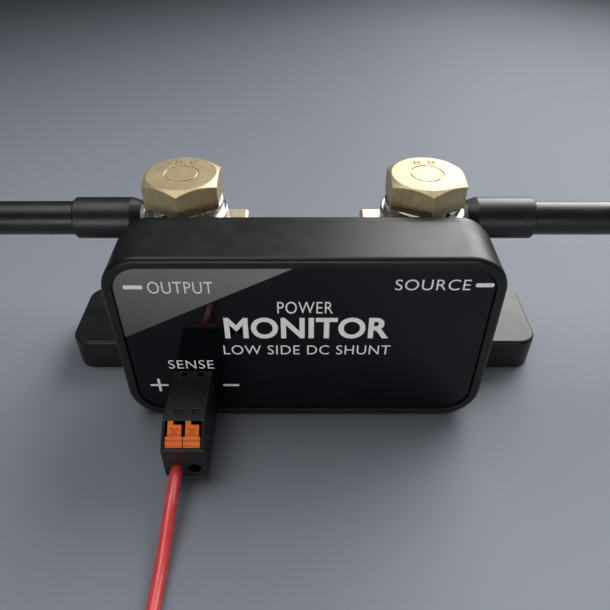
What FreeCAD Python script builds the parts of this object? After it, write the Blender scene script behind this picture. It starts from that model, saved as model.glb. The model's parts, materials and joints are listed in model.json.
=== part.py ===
"""Battery monitor shunt: a 500 A current shunt in a plastic housing, with its cables and plug.

Frame: +Z up, +X to the right as seen from the panel, -Y towards the viewer of the panel.
Origin: centre of the two mounting holes, on the underside of the base.
The two terminal bolts stand on the line through the origin along X.
"""
import FreeCAD, Part
import math
import os

import Sketcher

Vector = FreeCAD.Vector
Rotation = FreeCAD.Rotation
Placement = FreeCAD.Placement

DIMENSIONS = {
    # housing
    "housing_width": 84.0,
    "housing_height": 47.2,
    "front_distance": 28.4,
    "corner_radius": 8.5,
    "front_edge_radius": 1.1,
    "shell_wall": 2.2,
    "cavity_end": 25.0,
    "rim_width": 2.3,
    "ledge_inset": 4.4,
    "panel_inset": 0.5,
    "panel_thickness": 1.4,
    "panel_gap": 0.1,
    "tape_thickness": 0.2,
    "boss_diameter": 6.8,
    "boss_end": 15.6,
    "pilot_diameter": 2.5,
    "upper_boss_x": 35.8,
    "upper_boss_z": 41.0,
    "lower_boss_x": 34.6,
    "lower_boss_z": 5.2,
    # base with the rear wall
    "base_width": 121.8,
    "base_front": 11.9,
    "base_back": 11.8,
    "base_height": 9.1,
    "base_corner": 4.8,
    "base_edge": 0.8,
    "wall_thickness": 2.3,
    "wall_inset": 0.4,
    "lip_depth": 1.2,
    "lip_width": 1.2,
    "ear_hole_x": 48.5,
    "ear_hole_diameter": 4.5,
    "ear_countersink": 2.0,
    "driver_bore": 5.8,
    "groove_inset": 0.9,
    "groove_width": 0.9,
    "groove_depth": 0.8,
    "core_depth": 5.6,
    # terminal blocks and resistance strips
    "block_inner": 14.4,
    "block_outer": 38.5,
    "block_back": 11.0,
    "block_top": 35.6,
    "block_chamfer": 0.6,
    "strip_count": 5,
    "strip_thickness": 1.5,
    "strip_height": 17.7,
    "strip_pitch": 4.0,
    "strip_bottom": 13.5,
    "strip_slot": 3.0,
    "block_screw_near": 19.7,
    "block_screw_far": 29.0,
    "block_screw_diameter": 4.0,
    "block_screw_head": 7.0,
    "block_screw_seat": 4.2,
    "block_screw_end": 14.1,
    "post_x": 21.0,
    "post_z": 24.0,
    "post_diameter": 6.0,
    "post_stud": 3.9,
    # terminal bolts and washers
    "bolt_x": 28.2,
    "bolt_diameter": 10.0,
    "thread_clearance": 0.1,
    "bolt_hole_depth": 18.6,
    "bolt_length": 25.0,
    "hex_flats": 17.0,
    "head_height": 6.4,
    "palm_thickness": 4.2,
    "flat_washer_thickness": 2.5,
    "flat_washer_diameter": 20.0,
    "spring_washer_thickness": 2.5,
    "spring_washer_diameter": 18.1,
    "washer_bore": 10.4,
    # heavy cables
    "barrel_diameter": 7.6,
    "palm_diameter": 20.0,
    "barrel_start": 10.0,
    "barrel_end": 18.6,
    "core_length": 7.4,
    "cable_diameter": 8.1,
    "core_diameter": 5.7,
    "shrink_diameter": 9.9,
    "shrink_start": 10.5,
    "shrink_end": 26.5,
    "far_hole_x": 114.2,
    # circuit board
    "board_width": 62.0,
    "board_bottom": 4.6,
    "board_top": 42.4,
    "board_back": 18.0,
    "board_thickness": 1.6,
    # plug and its socket
    "plug_x": -25.65,
    "pole_pitch": 3.81,
    "plug_width": 9.2,
    "plug_bottom": 3.0,
    "plug_top": 15.6,
    "plug_shoulder": 28.1,
    "plug_face": 47.9,
    "plug_face_top": 11.8,
    "slope_start": 42.8,
    "plug_nose_end": 21.3,
    "pin_z": 9.5,
    "pin_width": 1.0,
    "wire_z": 5.7,
    "wire_diameter": 2.7,
    "wire_hole": 3.0,
    "wire_hole_depth": 3.0,
    "strand_diameter": 1.5,
    # put-away coil of the sense wire
    "coil_x": -6.6,
    "coil_y": -112.4,
    "coil_mean_radius": 16.0,
    "coil_width": 13.5,
    "coil_height": 5.4,
    "coil_bottom": 0.6,
}

doc = FreeCAD.newDocument("battery_monitor_shunt")
sheet = doc.addObject("Spreadsheet::Sheet", "Sizes")
for row, (alias, number) in enumerate(DIMENSIONS.items(), start=1):
    sheet.set(f"A{row}", alias)
    sheet.set(f"B{row}", str(number))
    sheet.setAlias(f"B{row}", alias)
doc.recompute()


class Size:
    """A number in millimetres together with the spreadsheet formula that gives it."""

    def __init__(self, number, formula):
        self.number = number
        self.formula = formula

    def _join(self, other, sign, number):
        return Size(number, f"({self.formula} {sign} {as_size(other).formula})")

    def __add__(self, other):
        return self._join(other, "+", self.number + as_size(other).number)

    def __sub__(self, other):
        return self._join(other, "-", self.number - as_size(other).number)

    def __mul__(self, other):
        return self._join(other, "*", self.number * as_size(other).number)

    def __truediv__(self, other):
        return self._join(other, "/", self.number / as_size(other).number)

    def __radd__(self, other):
        return as_size(other) + self

    def __rsub__(self, other):
        return as_size(other) - self

    def __rmul__(self, other):
        return as_size(other) * self

    def __neg__(self):
        return Size(-self.number, f"(0 - {self.formula})")


def as_size(value):
    if isinstance(value, Size):
        return value
    return Size(float(value), f"({float(value):.6f})")


class Sheet:
    """Gives each spreadsheet alias as a Size."""

    def __getattr__(self, alias):
        return Size(float(sheet.get(alias)), f"Sizes.{alias}")


S = Sheet()
SUB_PARTS = []


def bind(item, prop, size):
    item.setExpression(prop, as_size(size).formula)


def keep(item, label):
    """Mark an object as a sub-part whose shape is written out under its label."""
    item.Label = label
    SUB_PARTS.append(item)
    return item


# ---------------------------------------------------------------- PartDesign helpers

def new_body(label):
    return keep(doc.addObject("PartDesign::Body", label), label)


def new_sketch(body, name, role, height=0):
    """A sketch on one of the body's own origin planes, moved by height along the plane's normal."""
    plane = next(f for f in body.Origin.OriginFeatures if f.Role == role)
    sketch = body.newObject("Sketcher::SketchObject", name)
    sketch.AttachmentSupport = (plane, [""])
    sketch.MapMode = "FlatFace"
    bind(sketch, "AttachmentOffset.Base.z", height)
    return sketch


def datum(sketch, size, kind, *references):
    index = sketch.addConstraint(Sketcher.Constraint(kind, *references, as_size(size).number))
    bind(sketch, f"Constraints[{index}]", size)


def fix_point(sketch, geometry, vertex, x, y):
    """Tie a vertex to its place, measured from the sketch's origin."""
    for kind, axis, size in (("DistanceX", -2, x), ("DistanceY", -1, y)):
        if abs(as_size(size).number) < 1e-9:
            sketch.addConstraint(Sketcher.Constraint("PointOnObject", geometry, vertex, axis))
        else:
            datum(sketch, size, kind, -1, 1, geometry, vertex)


def point(x, y):
    return Vector(as_size(x).number, as_size(y).number, 0)


def draw_polygon(sketch, corners):
    first = sketch.GeometryCount
    count = len(corners)
    for index, corner in enumerate(corners):
        following = corners[(index + 1) % count]
        sketch.addGeometry(Part.LineSegment(point(*corner), point(*following)))
    for index, corner in enumerate(corners):
        before = first + (index - 1) % count
        sketch.addConstraint(Sketcher.Constraint("Coincident", before, 2, first + index, 1))
        fix_point(sketch, first + index, 1, *corner)


def draw_rectangle(sketch, x_low, x_high, y_low, y_high):
    corners = [(x_low, y_low), (x_high, y_low), (x_high, y_high), (x_low, y_high)]
    draw_polygon(sketch, corners)


def draw_circle(sketch, x, y, diameter):
    index = sketch.addGeometry(Part.Circle(point(x, y), Vector(0, 0, 1), as_size(diameter).number / 2))
    datum(sketch, diameter, "Diameter", index)
    fix_point(sketch, index, 3, x, y)


def draw_rounded(sketch, x_low, x_high, y_low, y_high, radius):
    """A rectangle whose corners are quarter circles, anticlockwise from the lower left."""
    first = sketch.GeometryCount
    r = as_size(radius)
    centres = [
        (x_low + r, y_low + r),
        (x_high - r, y_low + r),
        (x_high - r, y_high - r),
        (x_low + r, y_high - r),
    ]
    for index, centre in enumerate(centres):
        start = math.pi * (1 + index / 2)
        circle = Part.Circle(point(*centre), Vector(0, 0, 1), r.number)
        sketch.addGeometry(Part.ArcOfCircle(circle, start, start + math.pi / 2))
    for index in range(4):
        here = sketch.getPoint(first + index, 2)
        there = sketch.getPoint(first + (index + 1) % 4, 1)
        sketch.addGeometry(Part.LineSegment(here, there))
    for index, centre in enumerate(centres):
        line = first + 4 + index
        sketch.addConstraint(Sketcher.Constraint("Tangent", first + index, 2, line, 1))
        sketch.addConstraint(Sketcher.Constraint("Tangent", line, 2, first + (index + 1) % 4, 1))
        fix_point(sketch, first + index, 3, *centre)
        if index == 0:
            datum(sketch, r, "Radius", first)
        else:
            sketch.addConstraint(Sketcher.Constraint("Equal", first, first + index))


def settled(feature):
    """Recompute, and stop if the feature failed."""
    doc.recompute()
    if "Up-to-date" not in feature.State:
        raise RuntimeError(f"{feature.Name} failed: {feature.State}")
    return feature


def pad(body, sketch, length, backwards=False, both_ways=False):
    feature = body.newObject("PartDesign::Pad", sketch.Name + "_pad")
    feature.Profile = sketch
    bind(feature, "Length", length)
    feature.Reversed = backwards
    feature.Midplane = both_ways
    return settled(feature)


def pocket(body, sketch, length, backwards=False, both_ways=False):
    """Cut along the sketch's normal reversed, or along the normal itself when backwards."""
    before = body.Shape.Volume
    feature = body.newObject("PartDesign::Pocket", sketch.Name + "_pocket")
    feature.Profile = sketch
    bind(feature, "Length", length)
    feature.Reversed = backwards
    feature.Midplane = both_ways
    settled(feature)
    if body.Shape.Volume > before - 1e-3:
        raise RuntimeError(f"{feature.Name} removes nothing")
    return feature


def revolve(body, sketch, axis_role, kind="PartDesign::Revolution"):
    feature = body.newObject(kind, sketch.Name + "_turn")
    feature.Profile = sketch
    axis = next(f for f in body.Origin.OriginFeatures if f.Role == axis_role)
    feature.ReferenceAxis = (axis, [""])
    feature.Angle = 360
    return settled(feature)


def dress(body, kind, size, chooser):
    """Fillet or chamfer the edges of the body's last feature that the chooser picks."""
    base = body.Tip
    edges = [f"Edge{i}" for i, edge in enumerate(base.Shape.Edges, start=1) if chooser(edge)]
    if not edges:
        raise RuntimeError(f"no edge of {body.Label} to dress")
    feature = body.newObject(f"PartDesign::{kind}", f"{body.Name}_{kind.lower()}")
    feature.Base = (base, edges)
    bind(feature, "Radius" if kind == "Fillet" else "Size", size)
    return settled(feature)


def lies_at(axis, size, also=None):
    """Chooser for the edges that lie in the plane where the coordinate has this size."""
    place = as_size(size).number

    def choose(edge):
        box = edge.BoundBox
        low, high = {"x": (box.XMin, box.XMax), "y": (box.YMin, box.YMax), "z": (box.ZMin, box.ZMax)}[axis]
        flat = abs(low - place) < 1e-4 and abs(high - place) < 1e-4
        return flat and (also is None or also(box.Center))
    return choose


def runs_along(axis, also=None):
    """Chooser for the straight edges parallel to an axis."""
    def choose(edge):
        box = edge.BoundBox
        spans = {"x": box.XLength, "y": box.YLength, "z": box.ZLength}
        length = spans.pop(axis)
        straight = length > 1e-3 and max(spans.values()) < 1e-4
        return straight and (also is None or also(box.Center))
    return choose


# ---------------------------------------------------------------- Part helpers

def box(name, x, y, z):
    """A box between a low and a high place along each axis."""
    item = doc.addObject("Part::Box", name)
    for side, letter, (low, high) in zip(("Length", "Width", "Height"), "xyz", (x, y, z)):
        bind(item, side, as_size(high) - low)
        bind(item, f"Placement.Base.{letter}", low)
    return item


def cylinder(name, diameter, start, length, axis="z"):
    """A cylinder that starts at a point and runs along the positive axis."""
    item = doc.addObject("Part::Cylinder", name)
    bind(item, "Radius", as_size(diameter) / 2)
    bind(item, "Height", length)
    turns = {"x": Rotation(Vector(0, 1, 0), 90), "y": Rotation(Vector(1, 0, 0), -90), "z": Rotation()}
    item.Placement = Placement(Vector(), turns[axis])
    for letter, place in zip("xyz", start):
        bind(item, f"Placement.Base.{letter}", place)
    return item


def fuse(name, items):
    item = doc.addObject("Part::MultiFuse", name)
    item.Shapes = items
    return item


def cut(name, base, tools):
    item = doc.addObject("Part::Cut", name)
    item.Base = base
    item.Tool = tools[0] if len(tools) == 1 else fuse(name + "_tools", tools)
    return item


def group(label, items):
    """Several separate solids that share one node."""
    item = doc.addObject("Part::Compound", label)
    item.Links = items
    return keep(item, label)


def fixed_shape(label, shape):
    item = doc.addObject("Part::Feature", label)
    item.Shape = shape
    return keep(item, label)


# ---------------------------------------------------------------- shared places

housing_back = S.base_front + S.wall_thickness
panel_front = S.front_distance - S.panel_inset
panel_back = panel_front - S.panel_thickness
ledge_front = panel_back - S.tape_thickness
board_front = S.board_back + S.board_thickness
head_underside = S.block_top + S.palm_thickness + S.flat_washer_thickness + S.spring_washer_thickness
cable_axis = S.block_top + S.barrel_diameter / 2
BOSSES = [
    (side * x, z)
    for side in (-1, 1)
    for x, z in ((S.upper_boss_x, S.upper_boss_z), (S.lower_boss_x, S.lower_boss_z))
]
POLES = [S.plug_x - S.pole_pitch / 2, S.plug_x + S.pole_pitch / 2]


def draw_inset(sketch, inset):
    """The housing's front outline, moved inwards by an inset."""
    half = S.housing_width / 2 - inset
    draw_rounded(sketch, -half, half, as_size(inset), S.housing_height - inset, S.corner_radius - inset)


# ---------------------------------------------------------------- base and housing

def make_base_frame():
    """One moulding: the lip, the rear wall that closes the housing, and the base with two ears."""
    body = new_body("base_frame")
    plan = new_sketch(body, "plan", "XY_Plane")
    half = S.base_width / 2
    draw_rounded(plan, -half, half, -S.base_front, S.base_back, S.base_corner)
    pad(body, plan, S.base_height)
    dress(body, "Fillet", S.base_edge, lies_at("z", S.base_height))
    wall = new_sketch(body, "wall", "XZ_Plane", S.base_front)
    draw_inset(wall, S.wall_inset)
    pad(body, wall, S.wall_thickness)
    lip_outer = S.shell_wall + S.panel_gap
    lip = new_sketch(body, "lip", "XZ_Plane", housing_back)
    draw_inset(lip, lip_outer)
    draw_inset(lip, lip_outer + S.lip_width)
    pad(body, lip, S.lip_depth)

    screws = new_sketch(body, "shell_screw_holes", "XZ_Plane", housing_back)
    for x, z in BOSSES:
        draw_circle(screws, x, z, 3.4)
    pocket(body, screws, S.wall_thickness + 0.5)
    bores = new_sketch(body, "driver_bores", "XZ_Plane", S.base_front)
    for side in (-1, 1):
        draw_circle(bores, side * S.lower_boss_x, S.lower_boss_z, S.driver_bore)
    pocket(body, bores, S.base_front + S.base_back + 1)
    posts = new_sketch(body, "post_holes", "XZ_Plane", housing_back)
    for side in (-1, 1):
        draw_circle(posts, side * S.post_x, S.post_z, S.post_diameter + 0.4)
    pocket(body, posts, S.wall_thickness + 0.5)
    groove = new_sketch(body, "seal_groove", "XZ_Plane", housing_back)
    draw_inset(groove, S.groove_inset)
    draw_inset(groove, S.groove_inset + S.groove_width)
    pocket(body, groove, S.groove_depth)

    ears = new_sketch(body, "ear_holes", "XY_Plane", S.base_height)
    for side in (-1, 1):
        draw_circle(ears, side * S.ear_hole_x, 0, S.ear_hole_diameter)
    pocket(body, ears, S.base_height + 1)

    def round_an_ear_hole(centre):
        return abs(abs(centre.x) - S.ear_hole_x.number) < 0.1 and abs(centre.y) < 0.1

    dress(body, "Chamfer", S.ear_countersink, lies_at("z", S.base_height, round_an_ear_hole))
    seats = new_sketch(body, "block_screw_seats", "XY_Plane")
    shanks = new_sketch(body, "block_screw_holes", "XY_Plane")
    for side in (-1, 1):
        for x in (S.block_screw_near, S.block_screw_far):
            draw_circle(seats, side * x, 0, S.block_screw_head + 0.8)
            draw_circle(shanks, side * x, 0, S.block_screw_diameter + 0.4)
    pocket(body, seats, S.block_screw_seat, backwards=True)
    pocket(body, shanks, S.base_height + 1, backwards=True)

    cores = new_sketch(body, "coring", "XY_Plane")
    for x_low, x_high in ((-12.6, -1), (1, 12.6)):
        for y_low, y_high in ((-9.4, -1), (1, 9.4)):
            draw_rounded(cores, as_size(x_low), as_size(x_high), as_size(y_low), as_size(y_high), 1.2)
    pocket(body, cores, S.core_depth, backwards=True)
    return body


def make_housing_shell():
    """The front casing: a rounded box, open at the back, with a rim that holds the panel."""
    body = new_body("housing_shell")
    outline = new_sketch(body, "outline", "XZ_Plane", housing_back)
    draw_inset(outline, 0)
    pad(body, outline, S.front_distance - housing_back)
    dress(body, "Fillet", S.front_edge_radius, lies_at("y", -S.front_distance))
    cavity = new_sketch(body, "cavity", "XZ_Plane", housing_back)
    draw_inset(cavity, S.shell_wall)
    pocket(body, cavity, S.cavity_end - housing_back, backwards=True)
    recess = new_sketch(body, "panel_recess", "XZ_Plane", S.front_distance)
    draw_inset(recess, S.rim_width)
    pocket(body, recess, S.front_distance - ledge_front)
    window = new_sketch(body, "window", "XZ_Plane", S.front_distance)
    draw_inset(window, S.ledge_inset)
    pocket(body, window, S.front_distance - S.cavity_end + 0.5)
    notch = new_sketch(body, "socket_notch", "XZ_Plane", S.front_distance)
    draw_rectangle(notch, S.plug_x - 4.9, S.plug_x + 4.9, 3.9, 15.1)
    pocket(body, notch, S.front_distance - S.cavity_end + 0.5)
    bosses = new_sketch(body, "bosses", "XZ_Plane", S.boss_end)
    for x, z in BOSSES:
        draw_circle(bosses, x, z, S.boss_diameter)
    pad(body, bosses, S.cavity_end - S.boss_end + 0.2)
    pilots = new_sketch(body, "pilot_holes", "XZ_Plane", S.boss_end)
    for x, z in BOSSES:
        draw_circle(pilots, x, z, S.pilot_diameter)
    pocket(body, pilots, 7.5, backwards=True)
    return body


def make_front_panel():
    """Glossy inset sheet with one opening, for the socket."""
    body = new_body("front_panel")
    outline = new_sketch(body, "panel_outline", "XZ_Plane", panel_back)
    draw_inset(outline, S.rim_width + S.panel_gap)
    draw_rounded(outline, S.plug_x - 4.6, S.plug_x + 4.6, as_size(4.1), as_size(14.9), 0.4)
    pad(body, outline, S.panel_thickness)
    dress(body, "Fillet", 0.25, lies_at("y", -panel_front, lambda c: abs(c.x) > 30 or c.z > 20 or c.z < 3))
    return body


def make_ring(label, name, back, thickness, outer_inset, inner_inset):
    """A flat ring that follows the housing's outline."""
    body = new_body(label)
    outline = new_sketch(body, name, "XZ_Plane", back)
    draw_inset(outline, outer_inset)
    draw_inset(outline, inner_inset)
    pad(body, outline, thickness)
    return body


def make_shell_screws():
    """Four pan-head self-tapping screws that hold the shell against the rear wall."""
    screws = []
    for index, (x, z) in enumerate(BOSSES):
        head = cylinder(f"shell_screw_head_{index}", 5.2, (x, -S.base_front, z), 1.9, "y")
        shank = cylinder(f"shell_screw_shank_{index}", 2.4, (x, -S.base_front - 9, z), 9.5, "y")
        depth = (-S.base_front + 1.0, -S.base_front + 2.0)
        arms = [
            box(f"shell_screw_arm_{index}_a", (x - 1.3, x + 1.3), depth, (z - 0.3, z + 0.3)),
            box(f"shell_screw_arm_{index}_b", (x - 0.3, x + 0.3), depth, (z - 1.3, z + 1.3)),
        ]
        screws.append(cut(f"shell_screw_{index}", fuse(f"shell_screw_blank_{index}", [head, shank]), arms))
    group("shell_screws", screws)


# ---------------------------------------------------------------- power path

def make_brass_block(label, side):
    body = new_body(label)
    inner = side * S.block_inner
    outer = side * S.block_outer
    low, high = (inner, outer) if side > 0 else (outer, inner)
    plan = new_sketch(body, label + "_plan", "XY_Plane", S.base_height)
    draw_rectangle(plan, low, high, -S.base_front, S.block_back)
    pad(body, plan, S.block_top - S.base_height)
    dress(body, "Chamfer", S.block_chamfer,
          lambda edge: lies_at("z", S.block_top)(edge) or runs_along("z")(edge))
    bolt_hole = new_sketch(body, label + "_bolt_hole", "XY_Plane", S.block_top)
    draw_circle(bolt_hole, side * S.bolt_x, 0, S.bolt_diameter + S.thread_clearance)
    pocket(body, bolt_hole, S.bolt_hole_depth)
    slots = new_sketch(body, label + "_slots", "YZ_Plane", inner)
    for y in strip_places():
        draw_rectangle(slots, y - S.strip_thickness / 2, y + S.strip_thickness / 2,
                       S.strip_bottom, S.strip_bottom + S.strip_height)
    pocket(body, slots, S.strip_slot, backwards=side > 0)
    screw_holes = new_sketch(body, label + "_screw_holes", "XY_Plane", S.base_height)
    for x in (S.block_screw_near, S.block_screw_far):
        draw_circle(screw_holes, side * x, 0, S.block_screw_diameter)
    pocket(body, screw_holes, S.block_screw_end - S.base_height + 1, backwards=True)
    post_hole = new_sketch(body, label + "_post_hole", "XZ_Plane", S.base_front)
    draw_circle(post_hole, side * S.post_x, S.post_z, S.post_stud)
    pocket(body, post_hole, 5)
    return body


def strip_places():
    count = int(DIMENSIONS["strip_count"])
    return [S.strip_pitch * (index - (count - 1) / 2) for index in range(count)]


def make_manganin_strips():
    """Five resistance strips on edge, brazed into slots in both blocks."""
    end = S.block_inner + S.strip_slot
    strips = []
    for index, y in enumerate(strip_places()):
        y_span = (y - S.strip_thickness / 2, y + S.strip_thickness / 2)
        z_span = (S.strip_bottom, S.strip_bottom + S.strip_height)
        strips.append(box(f"strip_{index}", (-end, end), y_span, z_span))
    group("manganin_strips", strips)


def hexagon_prism(name, flats, start, length):
    item = doc.addObject("Part::Prism", name)
    item.Polygon = 6
    bind(item, "Circumradius", as_size(flats) / math.sqrt(3))
    bind(item, "Height", length)
    for letter, place in zip("xyz", start):
        bind(item, f"Placement.Base.{letter}", place)
    return item


def make_block_screws():
    """Four socket-head screws from below that hold the blocks on the base."""
    screws = []
    for side in (-1, 1):
        for spot, x in (("near", side * S.block_screw_near), ("far", side * S.block_screw_far)):
            name = f"block_screw_{'left' if side < 0 else 'right'}_{spot}"
            head = cylinder(name + "_head", S.block_screw_head, (x, 0, S.block_screw_seat - 3.4), 3.4)
            shank_bottom = S.block_screw_seat - 0.5
            shank = cylinder(name + "_shank", S.block_screw_diameter - 0.1, (x, 0, shank_bottom),
                             S.block_screw_end - shank_bottom)
            socket = hexagon_prism(name + "_socket", 3.0, (x, 0, S.block_screw_seat - 3.6), 2.2)
            screws.append(cut(name, fuse(name + "_blank", [head, shank]), [socket]))
    group("block_screws", screws)


def make_terminal_bolt(label, side, turn):
    """An M10 hexagon bolt, made with its axis on the body's Z axis and its head's underside at zero."""
    body = new_body(label)
    head = new_sketch(body, label + "_head", "XY_Plane")
    corner_radius = S.hex_flats / math.sqrt(3)
    corners = []
    for index in range(6):
        angle = math.radians(60 * index - 90)
        corners.append((corner_radius * math.cos(angle), corner_radius * math.sin(angle)))
    draw_polygon(head, corners)
    pad(body, head, S.head_height)
    shank = new_sketch(body, label + "_shank", "XY_Plane")
    draw_circle(shank, 0, 0, S.bolt_diameter)
    pad(body, shank, S.bolt_length, backwards=True)
    chamfer = new_sketch(body, label + "_corner_cut", "XZ_Plane")
    top_radius = S.hex_flats * 0.475
    reach = S.hex_flats * 0.6
    drop = (reach - top_radius) * math.tan(math.radians(30))
    draw_polygon(chamfer, [
        (top_radius, S.head_height), (reach, S.head_height - drop), (reach, S.head_height + 1),
        (top_radius, S.head_height + 1),
    ])
    revolve(body, chamfer, "Z_Axis", "PartDesign::Groove")
    ring = new_sketch(body, label + "_ring", "XY_Plane", S.head_height)
    draw_circle(ring, 0, 0, 8.0)
    draw_circle(ring, 0, 0, 7.3)
    pocket(body, ring, 0.2)
    dress(body, "Chamfer", 0.8, lies_at("z", -S.bolt_length))
    body.Placement = Placement(Vector(), Rotation(Vector(0, 0, 1), turn))
    bind(body, "Placement.Base.x", side * S.bolt_x)
    bind(body, "Placement.Base.z", head_underside)
    return body


def make_washer(label, side, diameter, bottom, thickness, split):
    body = new_body(label)
    ring = new_sketch(body, label + "_ring", "XY_Plane")
    draw_circle(ring, 0, 0, diameter)
    draw_circle(ring, 0, 0, S.washer_bore)
    pad(body, ring, thickness)
    dress(body, "Chamfer", 0.3, lies_at("z", thickness, lambda c: abs(c.x) < 1))
    if split:
        gap = new_sketch(body, label + "_split", "XZ_Plane", S.washer_bore / 2 - 1)
        draw_polygon(gap, [(-1.4, -0.1), (-0.2, -0.1), (1.4, thickness + 0.1), (0.2, thickness + 0.1)])
        pocket(body, gap, diameter / 2, backwards=True)
    body.Placement = Placement(Vector(), Rotation(Vector(0, 0, 1), 25 * side))
    bind(body, "Placement.Base.x", side * S.bolt_x)
    bind(body, "Placement.Base.z", bottom)
    return body


# ---------------------------------------------------------------- heavy cables

def place_on_cable(body, hole_x, direction):
    """Put a piece, made along +X from its lug's hole, at the hole and turned along the cable."""
    body.Placement = Placement(Vector(), Rotation(Vector(0, 0, 1), 0 if direction > 0 else 180))
    bind(body, "Placement.Base.x", hole_x)
    bind(body, "Placement.Base.z", cable_axis)


def make_cable_lug(label, hole_x, direction):
    """A crimped ring lug: palm around the hole, neck, and barrel along +X."""
    body = new_body(label)
    palm_bottom = -S.barrel_diameter / 2
    palm = new_sketch(body, label + "_palm", "XY_Plane", palm_bottom)
    draw_circle(palm, 0, 0, S.palm_diameter)
    pad(body, palm, S.palm_thickness)
    neck = new_sketch(body, label + "_neck", "XY_Plane", palm_bottom)
    shoulder = S.palm_diameter * 0.46
    half = S.barrel_diameter * 0.45
    neck_end = S.shrink_start - 0.2
    draw_polygon(neck, [(3, -shoulder), (S.barrel_start, -half), (neck_end, -half),
                        (neck_end, half), (S.barrel_start, half), (3, shoulder)])
    pad(body, neck, S.palm_thickness)
    barrel = new_sketch(body, label + "_barrel", "YZ_Plane", S.barrel_start)
    draw_circle(barrel, 0, 0, S.barrel_diameter)
    pad(body, barrel, S.barrel_end - S.barrel_start)
    slant = new_sketch(body, label + "_slant", "XZ_Plane")
    palm_top = palm_bottom + S.palm_thickness
    draw_polygon(slant, [(S.barrel_start - 1, palm_top), (S.barrel_start + 0.4, palm_top),
                         (S.barrel_start + 1.6, S.barrel_diameter / 2 + 0.2),
                         (S.barrel_start - 1, S.barrel_diameter / 2 + 0.2)])
    pocket(body, slant, S.barrel_diameter + 1, both_ways=True)
    hole = new_sketch(body, label + "_hole", "XY_Plane", palm_top)
    draw_circle(hole, 0, 0, S.bolt_diameter + 0.5)
    pocket(body, hole, S.palm_thickness + 1)
    bore = new_sketch(body, label + "_bore", "YZ_Plane", S.barrel_end)
    draw_circle(bore, 0, 0, S.core_diameter)
    pocket(body, bore, S.core_length)
    place_on_cable(body, hole_x, direction)
    return body


def make_heat_shrink(label, hole_x, direction):
    """A shrunk sleeve over the lug's barrel and the end of the cable's jacket."""
    body = new_body(label)
    profile = new_sketch(body, label + "_profile", "XY_Plane")
    outer = S.shrink_diameter / 2
    over_barrel = S.barrel_diameter / 2 + 0.02
    over_jacket = S.cable_diameter / 2 + 0.02
    step = S.barrel_end
    draw_polygon(profile, [
        (S.shrink_start, over_barrel), (step - 0.4, over_barrel), (step, over_jacket),
        (S.shrink_end, over_jacket), (S.shrink_end, outer - 0.25), (S.shrink_end - 0.3, outer),
        (S.shrink_start + 2.4, outer), (S.shrink_start, outer - 0.8),
    ])
    revolve(body, profile, "X_Axis")
    place_on_cable(body, hole_x, direction)
    return body


def rounded_route(points):
    """Straight runs joined by tangent arcs, each as large as its two runs allow."""
    edges = []
    radii = []
    start = points[0]
    for index in range(1, len(points) - 1):
        before, corner, after = points[index - 1:index + 2]
        back = (before - corner).normalize()
        ahead = (after - corner).normalize()
        turn = math.pi - back.getAngle(ahead)
        trim = 0.45 * min((before - corner).Length, (after - corner).Length)
        radius = trim / math.tan(turn / 2)
        radii.append(round(radius, 1))
        first = corner + back * trim
        last = corner + ahead * trim
        bisector = (back + ahead).normalize()
        middle = corner + bisector * (math.hypot(trim, radius) - radius)
        edges.append(Part.LineSegment(start, first).toShape())
        edges.append(Part.Arc(first, middle, last).toShape())
        start = last
    edges.append(Part.LineSegment(start, points[-1]).toShape())
    return Part.Wire(edges), radii


def make_cord_tube(label, points, diameter):
    """A round tube along a route; its volume is compared with section times length."""
    wire, radii = rounded_route(points)
    heading = points[1] - points[0]
    section = Part.Wire(Part.Circle(points[0], heading, diameter / 2).toShape())
    tube = wire.makePipeShell([section], True, True)
    expected = math.pi * diameter ** 2 / 4 * wire.Length
    print(f"{label}: length {wire.Length:.1f} mm, radii {radii}, volume ratio {tube.Volume / expected:.4f}")
    return fixed_shape(label, tube)


def make_heavy_cable(side_name, side):
    """One cable, pulled straight between its two lugs, with a sag of a tenth of a millimetre."""
    start = S.bolt_x.number + S.barrel_end.number
    end = S.far_hole_x.number - S.barrel_end.number
    level = cable_axis.number
    points = [
        Vector(side * start, 0, level),
        Vector(side * (start + end) / 2, 0, level - 0.1),
        Vector(side * end, 0, level),
    ]
    make_cord_tube(f"cable_{side_name}", points, S.cable_diameter.number)
    cores = []
    for index, x in enumerate((S.bolt_x + S.barrel_end - S.core_length, S.far_hole_x - S.barrel_end)):
        start_x = x if side > 0 else -x - S.core_length
        cores.append(cylinder(f"core_{side_name}_{index}", S.core_diameter, (start_x, 0, cable_axis),
                              S.core_length, "x"))
    group(f"cable_core_{side_name}", cores)


# ---------------------------------------------------------------- electronics

def board_part(name, x, z, width, height, thick):
    """A box soldered on the board's front face, centred at x and z."""
    return box(name, (x - width / 2, x + width / 2), (-board_front - thick, -board_front),
               (z - height / 2, z + height / 2))


def make_circuit_board():
    body = new_body("circuit_board")
    outline = new_sketch(body, "board_outline", "XZ_Plane", S.board_back)
    half = S.board_width / 2
    draw_rounded(outline, -half, half, S.board_bottom, S.board_top, 2.0)
    for side in (-1, 1):
        draw_circle(outline, side * S.post_x, S.post_z, 3.4)
    for x in POLES:
        draw_circle(outline, x, S.pin_z, 1.5)
    pad(body, outline, S.board_thickness)
    return body


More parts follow.
